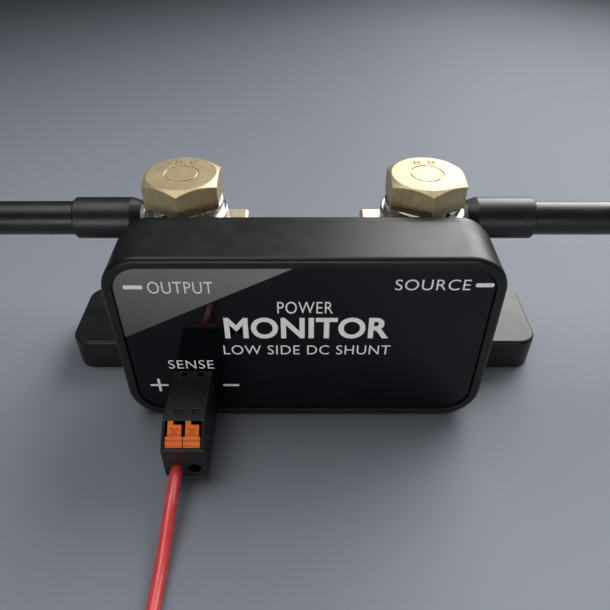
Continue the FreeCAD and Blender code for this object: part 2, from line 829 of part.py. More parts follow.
def make_chips():
    keep(board_part("microcontroller", as_size(-2), as_size(16), 7.0, 7.0, 0.9), "microcontroller")
    keep(board_part("current_amplifier", as_size(12), as_size(24), 5.0, 6.4, 1.1), "current_amplifier")
    keep(board_part("voltage_regulator", as_size(-12), as_size(24), 6.5, 3.5, 1.6), "voltage_regulator")
    keep(board_part("wireless_module", as_size(4), as_size(35), 20.0, 12.0, 0.8), "wireless_module")
    can_front = board_front + 0.8
    keep(box("module_shield", (as_size(-4.5), as_size(8.5)), (-can_front - 1.6, -can_front),
             (as_size(30.2), as_size(39.8))), "module_shield")
    capacitors = []
    for index, (x, z) in enumerate(((-14, 33), (-14, 37), (19, 12), (19, 15.5), (8, 14), (8, 11))):
        capacitors.append(board_part(f"capacitor_{index}", as_size(x), as_size(z), 3.2, 1.6, 1.5))
    group("board_capacitors", capacitors)


def make_sense_posts():
    """Brass posts screwed into the blocks: they carry the board and the sense voltage."""
    posts = []
    screws = []
    for side in (-1, 1):
        name = "left" if side < 0 else "right"
        x = side * S.post_x
        barrel = cylinder(f"post_barrel_{name}", S.post_diameter, (x, -S.board_back, S.post_z),
                          S.board_back - S.base_front, "y")
        stud = cylinder(f"post_stud_{name}", S.post_stud, (x, -S.base_front - 0.5, S.post_z), 5.2, "y")
        bore = cylinder(f"post_bore_{name}", 2.9, (x, -S.board_back - 1, S.post_z), 5.8, "y")
        posts.append(cut(f"post_{name}", fuse(f"post_blank_{name}", [barrel, stud]), [bore]))
        head = cylinder(f"sense_head_{name}", 5.6, (x, -board_front - 1.8, S.post_z), 1.8, "y")
        shank = cylinder(f"sense_shank_{name}", 2.8, (x, -board_front - 0.5, S.post_z), 6.4, "y")
        slot = box(f"sense_slot_{name}", (x - 2.2, x + 2.2), (-board_front - 2.8, -board_front - 0.9),
                   (S.post_z - 0.4, S.post_z + 0.4))
        screws.append(cut(f"sense_screw_{name}", fuse(f"sense_blank_{name}", [head, shank]), [slot]))
    group("sense_posts", posts)
    group("sense_screws", screws)


# ---------------------------------------------------------------- socket and plug

def make_header_socket():
    """Shrouded two-pole socket, soldered on the board, its mouth flush with the panel."""
    body = new_body("header_socket")
    outer = new_sketch(body, "socket_outer", "XZ_Plane", board_front)
    draw_rounded(outer, S.plug_x - 4.5, S.plug_x + 4.5, as_size(4.3), as_size(14.7), 0.3)
    pad(body, outer, panel_front - board_front)
    mouth = new_sketch(body, "socket_mouth", "XZ_Plane", panel_front)
    draw_rectangle(mouth, S.plug_x - 3.9, S.plug_x + 3.9, 4.9, 14.1)
    pocket(body, mouth, panel_front - S.plug_nose_end + 0.3)
    holes = new_sketch(body, "socket_pin_holes", "XZ_Plane", S.plug_nose_end)
    for x in POLES:
        half = S.pin_width / 2
        draw_rectangle(holes, x - half, x + half, S.pin_z - half, S.pin_z + half)
    pocket(body, holes, S.plug_nose_end - board_front + 1)
    return body


def make_header_pins():
    pins = []
    for index, x in enumerate(POLES):
        half = S.pin_width / 2
        pins.append(box(f"pin_{index}", (x - half, x + half), (as_size(-26.6), as_size(-17.0)),
                        (S.pin_z - half, S.pin_z + half)))
    group("header_pins", pins)


def slope_frame():
    """Directions of the plug's sloped face, in Y and Z: down the slope, and into the body."""
    fall = Vector(0, S.slope_start.number - S.plug_face.number, S.plug_face_top.number - S.plug_top.number)
    down = Vector(fall).normalize()
    inward = Vector(0, -down.z, down.y)
    return down, inward


def on_slope(along, depth):
    """A point of the slope's side view, as a sketch place in Y and Z."""
    down, inward = slope_frame()
    return (-S.slope_start + (down.y * along + inward.y * depth),
            S.plug_top + (down.z * along + inward.z * depth))


def make_plug_body():
    """Two-pole plug: body with a sloped lever recess, wire entries, clamp chambers and test holes."""
    body = new_body("plug_body")
    side = new_sketch(body, "plug_side", "YZ_Plane", S.plug_x)
    draw_polygon(side, [
        (-S.plug_shoulder, S.plug_bottom), (-S.plug_shoulder, S.plug_top), (-S.slope_start, S.plug_top),
        (-S.plug_face, S.plug_face_top), (-S.plug_face, S.plug_bottom),
    ])
    pad(body, side, S.plug_width, both_ways=True)
    dress(body, "Fillet", 0.3, runs_along("y"))
    nose = new_sketch(body, "plug_nose", "XZ_Plane", S.plug_nose_end)
    draw_rounded(nose, S.plug_x - 3.7, S.plug_x + 3.7, as_size(5.0), as_size(14.0), 0.4)
    pad(body, nose, S.plug_shoulder - S.plug_nose_end + 0.2)
    recess = new_sketch(body, "lever_recess", "YZ_Plane", S.plug_x)
    draw_polygon(recess, [on_slope(0, -1.5), on_slope(0, 2.6), on_slope(5.9, 2.6), on_slope(5.9, -1.5)])
    pocket(body, recess, 7.9, both_ways=True)
    entries = new_sketch(body, "wire_entries", "XZ_Plane", S.plug_face)
    throats = new_sketch(body, "wire_throats", "XZ_Plane", S.plug_face)
    tests = new_sketch(body, "test_holes", "XY_Plane", S.plug_top)
    for x in POLES:
        draw_circle(entries, x, S.wire_z, S.wire_hole)
        draw_circle(throats, x, S.wire_z, S.strand_diameter + 0.3)
        draw_circle(tests, x, -S.plug_shoulder - 1.3, 1.3)
    pocket(body, entries, S.wire_hole_depth)
    pocket(body, throats, S.wire_hole_depth + 1.2)
    pocket(body, tests, 3.0)
    marks = new_sketch(body, "probe_windows", "XY_Plane", S.plug_top)
    for x in POLES:
        draw_rectangle(marks, x - 0.3, x + 1.4, -S.slope_start + 1.7, -S.slope_start + 3.2)
    pocket(body, marks, 0.5)
    for name, x in zip(("plus", "minus"), POLES):
        chamber = new_sketch(body, f"chamber_{name}", "YZ_Plane", x)
        draw_polygon(chamber, [
            (-44.2, 4.4), (-30.5, 4.4), (-30.5, 10.8), (-40.0, 10.8), (-42.2, 9.0), (-44.2, 9.0),
        ])
        pocket(body, chamber, 2.9, both_ways=True)
        stem = new_sketch(body, f"stem_hole_{name}", "YZ_Plane", x)
        draw_polygon(stem, [on_slope(2.6, 2.4), on_slope(4.2, 2.4), on_slope(4.2, 6.4), on_slope(2.6, 6.4)])
        pocket(body, stem, 2.2, both_ways=True)
    sockets = new_sketch(body, "contact_bores", "XZ_Plane", S.plug_nose_end)
    for x in POLES:
        draw_rectangle(sockets, x - 0.95, x + 0.95, S.pin_z - 0.95, S.pin_z + 0.95)
    pocket(body, sockets, 9.5, backwards=True)
    return body


def make_plug_contacts():
    """For each pole a current bar under the wire, a riser, and a fork that grips the socket's pin."""
    contacts = []
    for index, x in enumerate(POLES):
        bar = box(f"contact_bar_{index}", (x - 1.1, x + 1.1), (as_size(-44.0), as_size(-31.0)),
                  (as_size(4.4), S.wire_z - S.strand_diameter / 2))
        riser = box(f"contact_riser_{index}", (x - 0.9, x + 0.9), (as_size(-31.6), as_size(-31.0)),
                    (as_size(4.6), as_size(10.1)))
        leaf_length = (as_size(-31.2), as_size(-22.0))
        leaf_height = (S.pin_z - 0.6, S.pin_z + 0.6)
        leaves = [box(f"contact_leaf_{index}_left", (x - 0.85, x - 0.55), leaf_length, leaf_height),
                  box(f"contact_leaf_{index}_right", (x + 0.55, x + 0.85), leaf_length, leaf_height)]
        contacts.append(fuse(f"contact_{index}", [bar, riser] + leaves))
    group("plug_contacts", contacts)


def make_clamp_springs():
    """For each pole a bent leaf spring that holds the strands on the current bar."""
    springs = []
    outline = [(-32.2, 10.5), (-38.6, 10.5), (-41.0, 6.5), (-40.5, 6.5), (-38.4, 10.0), (-32.2, 10.0)]
    for x in POLES:
        corners = [Vector(x.number - 1.1, y, z) for y, z in outline]
        face = Part.Face(Part.makePolygon(corners + corners[:1]))
        springs.append(face.extrude(Vector(2.2, 0, 0)))
    fixed_shape("clamp_springs", Part.makeCompound(springs))


def make_release_lever(label, x):
    """An orange push lever: ridged grip, narrower arm with a corner notch, and a stem to the spring."""
    body = new_body(label)
    arm = new_sketch(body, label + "_arm", "YZ_Plane", x)
    draw_polygon(arm, [on_slope(0.1, 0.1), on_slope(3.9, 0.1), on_slope(3.9, 1.4), on_slope(0.1, 1.4)])
    pad(body, arm, 2.93, both_ways=True)
    grip = new_sketch(body, label + "_grip", "YZ_Plane", x)
    draw_polygon(grip, [
        on_slope(3.4, -0.2), on_slope(3.9, -0.2), on_slope(4.0, 0.1), on_slope(4.4, 0.1),
        on_slope(4.5, -0.2), on_slope(5.0, -0.2), on_slope(5.1, 0.1), on_slope(5.4, 0.1),
        on_slope(5.5, -0.1), on_slope(5.7, 0.2), on_slope(5.7, 1.4), on_slope(3.4, 1.4),
    ])
    pad(body, grip, 3.63, both_ways=True)
    stem = new_sketch(body, label + "_stem", "YZ_Plane", x)
    draw_polygon(stem, [on_slope(2.8, 1.2), on_slope(4.0, 1.2), on_slope(4.0, 4.6), on_slope(2.8, 4.6)])
    pad(body, stem, 1.8, both_ways=True)
    notch = new_sketch(body, label + "_notch", "YZ_Plane", x + 0.65)
    draw_polygon(notch, [on_slope(0.0, 0.0), on_slope(0.9, 0.0), on_slope(0.9, 1.5), on_slope(0.0, 1.5)])
    pocket(body, notch, 1.9, both_ways=True)
    return body


# ---------------------------------------------------------------- sense wire

# route of the sense wire: out of the plug, down to the surface and along it to the coil
SENSE_WIRE_ROUTE = [
    (-27.555, -44.9, 5.7),
    (-27.555, -54.0, 5.7),
    (-27.8, -66.0, 1.9),
    (-28.0, -78.0, 1.4),
    (-28.0, -97.8, 1.8),
    (-28.1, -107.4, 2.0),
]


def make_sense_wire():
    points = [Vector(*place) for place in SENSE_WIRE_ROUTE]
    make_cord_tube("sense_wire", points, S.wire_diameter.number)
    start = S.plug_face - S.wire_hole_depth
    keep(cylinder("wire_core", S.strand_diameter, (POLES[0], -start, S.wire_z), 6.9, "y"), "wire_core")


def make_coil():
    """Outer shape of the put-away turns, the tie round them, and the ring terminal at the wire's end."""
    body = new_body("sense_wire_coil")
    section = new_sketch(body, "coil_section", "XZ_Plane")
    inner = S.coil_mean_radius - S.coil_width / 2
    outer = S.coil_mean_radius + S.coil_width / 2
    draw_rounded(section, inner, outer, as_size(0), S.coil_height, S.wire_diameter / 2)
    revolve(body, section, "Z_Axis")
    bind(body, "Placement.Base.x", S.coil_x)
    bind(body, "Placement.Base.y", S.coil_y)
    bind(body, "Placement.Base.z", S.coil_bottom)

    band = S.coil_bottom - 0.05
    tie_x = (S.coil_x + inner, S.coil_x + outer)
    top = S.coil_bottom + S.coil_height
    strap = box("tie_outer", (tie_x[0] - band, tie_x[1] + band), (S.coil_y - 1.8, S.coil_y + 1.8),
                (as_size(0.05), top + band))
    opening = box("tie_opening", tie_x, (S.coil_y - 3, S.coil_y + 3), (S.coil_bottom, top))
    keep(cut("coil_tie", strap, [opening]), "coil_tie")

    tail_y = S.coil_y - S.coil_mean_radius - S.coil_width / 2 + S.wire_diameter / 2
    sleeve_start = S.coil_x + 16
    sleeve = cylinder("terminal_sleeve", 4.2, (sleeve_start, tail_y, 2.2), 8.0, "x")
    ring_x = sleeve_start + 15.0
    neck = box("terminal_neck", (sleeve_start + 7, ring_x - 4), (tail_y - 2.0, tail_y + 2.0),
               (as_size(1.7), as_size(2.6)))
    ring = cylinder("terminal_ring", 12.0, (ring_x, tail_y, 1.7), 0.9)
    hole = cylinder("terminal_hole", 6.4, (ring_x, tail_y, 1.0), 3.0)
    keep(cut("ring_terminal", fuse("terminal_blank", [sleeve, neck, ring]), [hole]), "ring_terminal")


# ---------------------------------------------------------------- build

def build():
    make_base_frame()
    make_housing_shell()
    make_front_panel()
    make_ring("panel_tape", "tape_outline", ledge_front, S.tape_thickness,
              S.rim_width + 0.4, S.ledge_inset - 0.2)
    make_ring("shell_gasket", "gasket_outline", housing_back - S.groove_depth, S.groove_depth,
              S.groove_inset, S.groove_inset + S.groove_width)
    make_shell_screws()
    make_manganin_strips()
    make_block_screws()
    washer_bottom = S.block_top + S.palm_thickness
    spring_bottom = washer_bottom + S.flat_washer_thickness
    for name, side, turn in (("left", -1, 0.5), ("right", 1, 1.2)):
        make_brass_block(f"brass_block_{name}", side)
        make_terminal_bolt(f"terminal_bolt_{name}", side, turn)
        make_washer(f"flat_washer_{name}", side, S.flat_washer_diameter, washer_bottom,
                    S.flat_washer_thickness, split=False)
        make_washer(f"spring_washer_{name}", side, S.spring_washer_diameter, spring_bottom,
                    S.spring_washer_thickness, split=True)
        make_cable_lug(f"cable_lug_{name}", side * S.bolt_x, side)
        make_heat_shrink(f"heat_shrink_{name}", side * S.bolt_x, side)
        make_cable_lug(f"far_lug_{name}", side * S.far_hole_x, -side)
        make_heat_shrink(f"far_heat_shrink_{name}", side * S.far_hole_x, -side)
        make_heavy_cable(name, side)
    make_sense_posts()
    make_circuit_board()
    make_chips()
    make_header_socket()
    make_header_pins()
    make_plug_body()
    make_plug_contacts()
    make_clamp_springs()
    make_release_lever("release_lever_plus", POLES[0])
    make_release_lever("release_lever_minus", POLES[1])
    make_sense_wire()
    make_coil()
    doc.recompute()


def check():
    """Stop if any object of the document failed, or a sub-part has no sound shape."""
    for item in doc.Objects:
        if "Invalid" in item.State or "Error" in item.State:
            raise RuntimeError(f"{item.Label} failed: {item.State}")
    for item in SUB_PARTS:
        if item.Shape.isNull() or not item.Shape.isValid() or not item.Shape.Solids:
            raise RuntimeError(f"{item.Label} has no sound shape")


def write():
    os.makedirs("parts", exist_ok=True)
    for item in SUB_PARTS:
        item.Shape.exportStep(f"parts/{item.Label}.step")
        print(f"{item.Label}: {len(item.Shape.Solids)} solid(s), {item.Shape.Volume:.1f} mm3")


build()
check()
write()
print(len(SUB_PARTS), "sub-parts written")
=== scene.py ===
"""Battery monitor shunt: cords, finishes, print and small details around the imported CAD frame.

Everything is in metres, in the CAD's own frame: +Z up, -Y towards the viewer of the panel.
"""
import json
import math

import bmesh
import bpy
from mathutils import Matrix, Vector


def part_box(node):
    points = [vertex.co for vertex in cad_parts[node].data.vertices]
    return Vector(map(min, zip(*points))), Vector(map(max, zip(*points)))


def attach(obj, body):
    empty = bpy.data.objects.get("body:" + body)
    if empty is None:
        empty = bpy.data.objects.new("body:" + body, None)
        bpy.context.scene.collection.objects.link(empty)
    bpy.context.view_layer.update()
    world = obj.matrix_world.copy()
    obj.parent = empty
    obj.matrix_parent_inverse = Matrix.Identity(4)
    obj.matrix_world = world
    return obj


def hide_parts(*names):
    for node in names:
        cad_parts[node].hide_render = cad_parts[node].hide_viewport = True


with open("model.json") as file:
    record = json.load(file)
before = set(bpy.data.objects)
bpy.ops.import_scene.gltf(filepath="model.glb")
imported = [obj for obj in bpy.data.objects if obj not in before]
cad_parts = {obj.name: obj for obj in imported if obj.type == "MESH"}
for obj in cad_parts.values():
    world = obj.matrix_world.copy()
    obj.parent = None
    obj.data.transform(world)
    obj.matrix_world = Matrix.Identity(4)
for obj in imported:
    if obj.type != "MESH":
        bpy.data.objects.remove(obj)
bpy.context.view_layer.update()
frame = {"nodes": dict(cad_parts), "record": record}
NODES = frame["nodes"]
SIDES = (("left", -1), ("right", 1))

bpy.context.scene.view_settings.view_transform = "Standard"


def place_object(name, data):
    """A new object in the scene, at the origin, that shows this data."""
    thing = bpy.data.objects.new(name, data)
    bpy.context.scene.collection.objects.link(thing)
    return thing


# ---------------------------------------------------------------- camera

CAMERA_PLACE = (0, -0.1239, 0.1151)
CAMERA_TILT = 39.8      # degrees down from level


def make_camera():
    """The photograph's camera: in front of the panel and above it, looking down at it."""
    data = bpy.data.cameras.new("photo_camera")
    data.lens = 35
    data.sensor_width = 36
    data.shift_x = 0.0013
    data.clip_start = 0.005
    data.clip_end = 10
    camera = place_object("photo_camera", data)
    camera.location = CAMERA_PLACE
    camera.rotation_euler = (math.radians(90 - CAMERA_TILT), 0, 0)
    bpy.context.scene.camera = camera


# ---------------------------------------------------------------- material helpers

class Surface:
    """A procedural material: colour, roughness and relief are built up from noise in object space."""

    def __init__(self, name):
        self.material = bpy.data.materials.new(name)
        self.material.use_nodes = True
        self.tree = self.material.node_tree
        self.shader = self.tree.nodes["Principled BSDF"]
        self.place = self.tree.nodes.new("ShaderNodeTexCoord").outputs["Object"]
        self.relief = None

    def set(self, socket, value):
        """Sets one of the shader's own values."""
        self.shader.inputs[socket].default_value = value
        return self

    def node(self, kind, **settings):
        node = self.tree.nodes.new("ShaderNode" + kind)
        for key, value in settings.items():
            setattr(node, key, value)
        return node

    def link(self, source, target):
        self.tree.links.new(source, target)

    def math(self, operation, *values):
        node = self.node("Math", operation=operation)
        for index, value in enumerate(values):
            if isinstance(value, (int, float)):
                node.inputs[index].default_value = value
            else:
                self.link(value, node.inputs[index])
        return node.outputs[0]

    def noise(self, size, detail=4, roughness=0.55, stretch=(1, 1, 1), distortion=0.0):
        """Noise whose features are about size metres wide, drawn out along the axes by stretch."""
        mapping = self.node("Mapping")
        mapping.inputs["Scale"].default_value = [1 / (size * factor) for factor in stretch]
        self.link(self.place, mapping.inputs["Vector"])
        noise = self.node("TexNoise")
        noise.inputs["Scale"].default_value = 1
        noise.inputs["Detail"].default_value = detail
        noise.inputs["Roughness"].default_value = roughness
        noise.inputs["Distortion"].default_value = distortion
        self.link(mapping.outputs["Vector"], noise.inputs["Vector"])
        return noise.outputs["Fac"]

    def spread(self, value, low, high, start=0.3, end=0.7):
        """The value from start to end, spread over low to high."""
        node = self.node("MapRange")
        node.inputs["From Min"].default_value = start
        node.inputs["From Max"].default_value = end
        node.inputs["To Min"].default_value = low
        node.inputs["To Max"].default_value = high
        self.link(value, node.inputs["Value"])
        return node.outputs["Result"]

    def blend(self, share, first, second):
        """A colour that goes from first to second with share; each is a colour or a socket."""
        node = self.node("Mix", data_type="RGBA")
        self.link(share, node.inputs["Factor"])
        for socket, value in ((node.inputs[6], first), (node.inputs[7], second)):
            if isinstance(value, tuple):
                socket.default_value = (*value, 1)
            else:
                self.link(value, socket)
        return node.outputs[2]

    def edges(self, radius):
        """How near an edge is, from a rounded normal set against the true one."""
        rounded = self.node("Bevel", samples=6)
        rounded.inputs["Radius"].default_value = radius
        true = self.node("NewGeometry")
        product = self.node("VectorMath", operation="DOT_PRODUCT")
        self.link(rounded.outputs["Normal"], product.inputs[0])
        self.link(true.outputs["Normal"], product.inputs[1])
        return self.spread(product.outputs["Value"], 1, 0, 0.88, 0.995)

    def colour(self, socket):
        self.link(socket, self.shader.inputs["Base Color"])

    def roughness(self, socket):
        self.link(socket, self.shader.inputs["Roughness"])

    def bump(self, height, depth, strength):
        """Adds relief of that depth, in metres, on top of the relief so far."""
        node = self.node("Bump")
        node.inputs["Strength"].default_value = strength
        node.inputs["Distance"].default_value = depth
        self.link(height, node.inputs["Height"])
        if self.relief is not None:
            self.link(self.relief, node.inputs["Normal"])
        self.relief = node.outputs["Normal"]
        self.link(self.relief, self.shader.inputs["Normal"])

    def soften(self, radius):
        """Rounds sharp edges in the shading, as a broken edge does."""
        node = self.node("Bevel", samples=6)
        node.inputs["Radius"].default_value = radius
        self.relief = node.outputs["Normal"]
        self.link(self.relief, self.shader.inputs["Normal"])


def moulded(name, dark, light, rough, grain=0.00035, depth=0.00001, worn=0.35):
    """Moulded plastic: a fine grain, faint cloudy colour and slightly rubbed edges."""
    surface = Surface(name)
    surface.soften(0.00025)
    cloud = surface.noise(0.012, 5, 0.6)
    base = surface.blend(surface.spread(cloud, 0, 1), dark, light)
    wear = surface.math("MULTIPLY", surface.edges(0.0004), surface.spread(surface.noise(0.003), 0.2, 1))
    rubbed = tuple(min(1, value * 1.9 + 0.01) for value in light)
    surface.colour(surface.blend(surface.math("MULTIPLY", wear, worn), base, rubbed))
    fine = surface.noise(grain, 2, 0.5)
    surface.roughness(surface.spread(surface.noise(0.006, 6, 0.65), rough - 0.05, rough + 0.05))
    surface.bump(fine, depth, 0.6)
    return surface


def metal(name, dark, light, rough, stretch=(1, 1, 1), streak=0.0006, depth=0.000006):
    """Metal with tool marks drawn out along stretch, stains, and edges lightened, as rubbed wear and as
    a painted highlight.
    """
    surface = Surface(name).set("Metallic", 1.0)
    surface.soften(0.0002)
    stain = surface.spread(surface.noise(0.005, 6, 0.6, distortion=0.4), 0, 1)
    streaks = surface.noise(streak, 5, 0.6, stretch)
    share = surface.math("MULTIPLY", surface.math("ADD", stain, surface.spread(streaks, 0, 1)), 0.5)
    base = surface.blend(share, dark, light)
    # painted highlight along convex edges, which also stands for rubbed wear
    edge = surface.math("MULTIPLY", surface.edges(0.00035), 0.5)
    surface.colour(surface.blend(edge, base, tuple(min(1, value * 1.25) for value in light)))
    surface.roughness(surface.spread(streaks, rough - 0.07, rough + 0.08))
    surface.bump(streaks, depth, 0.8)
    surface.bump(surface.noise(0.0004, 3), depth * 0.6, 0.5)
    return surface


# ---------------------------------------------------------------- materials, one per slot

def base_plastic():
    surface = moulded("base_plastic", (0.0060, 0.0062, 0.0066), (0.0095, 0.0098, 0.0104), 0.36)
    return surface.set("Specular IOR Level", 0.33)


def housing_plastic():
    surface = moulded("housing_plastic", (0.0080, 0.0080, 0.0083), (0.0125, 0.0125, 0.0130), 0.37)
    return surface.set("Specular IOR Level", 0.28)


REFLECTION_EDGE_LOW = (-0.040, 0.0256)   # edge of the painted reflection: its left end in X and Z
REFLECTION_EDGE_HIGH = (-0.002, 0.0447)  # and the place where it meets the panel's top


def panel_gloss():
    """Gloss black sheet with a painted reflection: a lighter grey field, brighter towards the top,
    painted in its top left corner.
    """
    surface = Surface("panel_gloss").set("IOR", 1.5).set("Specular IOR Level", 0.36)
    # painted reflection: above a slanted line the colour turns to a lighter grey that brightens towards
    # the top
    split = surface.node("SeparateXYZ")
    surface.link(surface.place, split.inputs[0])
    slope = (REFLECTION_EDGE_HIGH[1] - REFLECTION_EDGE_LOW[1]) / (REFLECTION_EDGE_HIGH[0] - REFLECTION_EDGE_LOW[0])
    start = REFLECTION_EDGE_LOW[1] - slope * REFLECTION_EDGE_LOW[0]
    line = surface.math("MULTIPLY_ADD", split.outputs["X"], slope, start)
    above = surface.math("SUBTRACT", split.outputs["Z"], line)
    painted_reflection = surface.spread(above, 0, 1, -0.00004, 0.00004)
    towards_top = surface.math("MULTIPLY_ADD", split.outputs["X"], 0.4, split.outputs["Z"])
    rise = surface.spread(towards_top, 0, 1, 0.012, 0.045)
    cloud = surface.spread(surface.noise(0.01, 4), 0.9, 1.1)
    grey = surface.blend(surface.math("MULTIPLY", rise, cloud),
                         (0.075, 0.075, 0.074), (0.220, 0.220, 0.217))
    black = surface.blend(surface.spread(surface.noise(0.02, 3), 0, 1),
                          (0.0010, 0.0016, 0.0026), (0.0018, 0.0026, 0.0042))
    surface.colour(surface.blend(painted_reflection, black, grey))
    smudge = surface.spread(surface.noise(0.009, 6, 0.7, distortion=0.8), 0.03, 0.07)
    surface.roughness(surface.math("ADD", smudge, surface.math("MULTIPLY", painted_reflection, 0.4)))
    surface.bump(surface.noise(0.004, 2), 0.000001, 0.3)
    return surface


def tape():
    return moulded("tape", (0.012, 0.012, 0.012), (0.022, 0.022, 0.022), 0.85, 0.0004, 0.00004)


def seal_rubber():
    return moulded("seal_rubber", (0.015, 0.015, 0.015), (0.024, 0.024, 0.024), 0.7, 0.0003, 0.00002)


def screw_steel():
    return metal("screw_steel", (0.42, 0.42, 0.43), (0.62, 0.62, 0.63), 0.32)


def brass():
    surface = metal("brass", (0.56, 0.46, 0.31), (0.76, 0.66, 0.50), 0.42, (1, 6, 1), 0.0004)
    return surface.set("Metallic", 0.75)


def bolt_brass():
    surface = metal("bolt_brass", (0.40, 0.31, 0.17), (0.62, 0.51, 0.33), 0.46,
                    (1, 1, 14), 0.0005, 0.000012)
    return surface.set("Metallic", 0.62)


def washer_steel():
    return metal("washer_steel", (0.50, 0.50, 0.50), (0.74, 0.73, 0.71), 0.26)


def manganin():
    return metal("manganin", (0.30, 0.22, 0.16), (0.46, 0.35, 0.27), 0.42, (8, 1, 1), 0.0003)


def lug_metal():
    return metal("lug_metal", (0.55, 0.54, 0.50), (0.74, 0.72, 0.68), 0.34)


def shrink_black():
    """Heat-shrink sleeve: satin, with faint wrinkles round it."""
    surface = moulded("shrink_black", (0.0055, 0.0055, 0.0055), (0.0090, 0.0090, 0.0092), 0.40)
    surface.bump(surface.noise(0.0012, 3, 0.5, (0.5, 3, 3)), 0.00004, 0.5)
    return surface


def cable_black():
    """Cable jacket: satin, with long drawn-out marks along it."""
    surface = moulded("cable_black", (0.0055, 0.0055, 0.0057), (0.0090, 0.0090, 0.0094), 0.36, worn=0)
    surface.bump(surface.noise(0.0006, 3, 0.5, (20, 1, 1)), 0.00002, 0.5)
    return surface


def copper():
    return metal("copper", (0.60, 0.28, 0.16), (0.80, 0.45, 0.28), 0.3, (10, 1, 1), 0.0003, 0.00003)


def board_green():
    return moulded("board_green", (0.006, 0.045, 0.022), (0.012, 0.085, 0.042), 0.3, 0.0005, 0.00001, 0)


def chip_black():
    return moulded("chip_black", (0.014, 0.014, 0.015), (0.022, 0.022, 0.023), 0.6)


def shield_metal():
    return metal("shield_metal", (0.50, 0.50, 0.48), (0.66, 0.66, 0.63), 0.3, (6, 1, 1), 0.0003)


def capacitor_tan():
    return moulded("capacitor_tan", (0.30, 0.21, 0.13), (0.42, 0.31, 0.20), 0.4)


def plug_plastic():
    return moulded("plug_plastic", (0.0060, 0.0060, 0.0062), (0.0105, 0.0105, 0.0110), 0.42,
                   0.0003, 0.000012)


def contact_metal():
    return metal("contact_metal", (0.60, 0.56, 0.46), (0.78, 0.74, 0.64), 0.25)


def spring_steel():
    return metal("spring_steel", (0.5, 0.5, 0.5), (0.7, 0.7, 0.7), 0.22)


def lever_orange():
    """Orange polyamide, a little translucent, with a fine grain."""
    surface = moulded("lever_orange", (0.74, 0.135, 0.012), (0.88, 0.20, 0.022), 0.38,
                      0.0002, 0.000008, 0.2)
    surface.set("Subsurface Weight", 0.08)
    surface.set("Subsurface Radius", (0.001, 0.0004, 0.0002))
    return surface


def wire_red():
    """Red wire insulation: glossy, with faint drawing marks."""
    surface = moulded("wire_red", (0.62, 0.040, 0.042), (0.76, 0.066, 0.066), 0.27, 0.0004, 0.000006, 0)
    surface.set("Coat Weight", 0.3)
    surface.set("Coat Roughness", 0.15)
    surface.bump(surface.noise(0.0005, 3, 0.5, (1, 14, 1)), 0.00001, 0.4)
    return surface


def tie_black():
    return moulded("tie_black", (0.010, 0.010, 0.010), (0.018, 0.018, 0.018), 0.5)


def print_white():
    """Light grey screen print: slightly uneven ink."""
    surface = Surface("print_white")
    ink = surface.noise(0.0006, 4, 0.7)
    surface.colour(surface.blend(surface.spread(ink, 0, 1), (0.76, 0.76, 0.77), (0.88, 0.88, 0.89)))
    surface.roughness(surface.spread(ink, 0.45, 0.6))
    surface.bump(ink, 0.000003, 0.5)
    return surface


SLOT_MAKERS = (
    base_plastic, housing_plastic, panel_gloss, tape, seal_rubber, screw_steel, brass, bolt_brass,
    washer_steel, manganin, lug_metal, shrink_black, cable_black, copper, board_green, chip_black,
    shield_metal, capacitor_tan, plug_plastic, contact_metal, spring_steel, lever_orange, wire_red,
    tie_black,
)


def finish_nodes():
    """Gives each CAD node its slot's finish, and returns the finishes by name."""
    made = {maker.__name__: maker().material for maker in SLOT_MAKERS}
    for row in frame["record"]["subparts"]:
        mesh = NODES[row["node"]].data
        mesh.materials.clear()
        mesh.materials.append(made[row["material_slot"]])
    return made


# ---------------------------------------------------------------- cords

def make_cord(name, points, diameter, material):
    """A round cord whose centreline is a NURBS spline with these control points."""
    curve = bpy.data.curves.new(name, "CURVE")
    curve.dimensions = "3D"
    curve.bevel_depth = diameter / 2
    curve.bevel_resolution = 8
    curve.use_fill_caps = True
    spline = curve.splines.new("NURBS")
    spline.points.add(len(points) - 1)
    for control, place in zip(spline.points, points):
        control.co = (*place, 1)
    spline.order_u = 3
    spline.use_endpoint_u = True
    spline.resolution_u = 10
    curve.materials.append(material)
    return place_object(name, curve)


POLES = (("plus", -0.027555), ("minus", -0.023745))    # the plug's two poles and their X
WIRE_DIAMETER = 0.0027

# route of the sense wire: out of the plug, down to the surface and along it to the coil
SENSE_WIRE_ROUTE = [
    (-0.027555, -0.0449, 0.0057),
    (-0.027555, -0.0540, 0.0057),
    (-0.0278, -0.0660, 0.0019),
    (-0.0280, -0.0780, 0.0014),
    (-0.0280, -0.0978, 0.0018),
]

# tail of the sense wire: off the coil's outer turn, down to the surface and into the ring terminal
TAIL_ROUTE = [
    (-0.0020, -0.1338, 0.00465),
    (0.0035, -0.1338, 0.0041),
    (0.0065, -0.1338, 0.0023),
    (0.0110, -0.1338, 0.0022),
]

COIL_CENTRE = (-0.0066, -0.1124)
COIL_OUTER = 0.0214             # about the radius of the outermost turn, to the wire's middle
COIL_STEP = math.radians(15)    # between two control points
COIL_START = math.radians(180)
COIL_END = math.radians(3510)
LOWER_LEVEL = 0.00195           # height of the lower layer's middle
JOG = math.radians(40)          # the stretch over which the wire moves to the next turn
INWARD_JOGS = [math.radians(360 * turn) for turn in range(1, 5)]
OUTWARD_JOGS = [math.radians(305 + 360 * turn) for turn in range(5, 9)]
CLIMB = math.radians(1780)      # where the wire moves up to the upper layer


def eased(value):
    """The value kept to 0 to 1, with a gentle start and end."""
    value = min(1, max(0, value))
    return value * value * (3 - 2 * value)


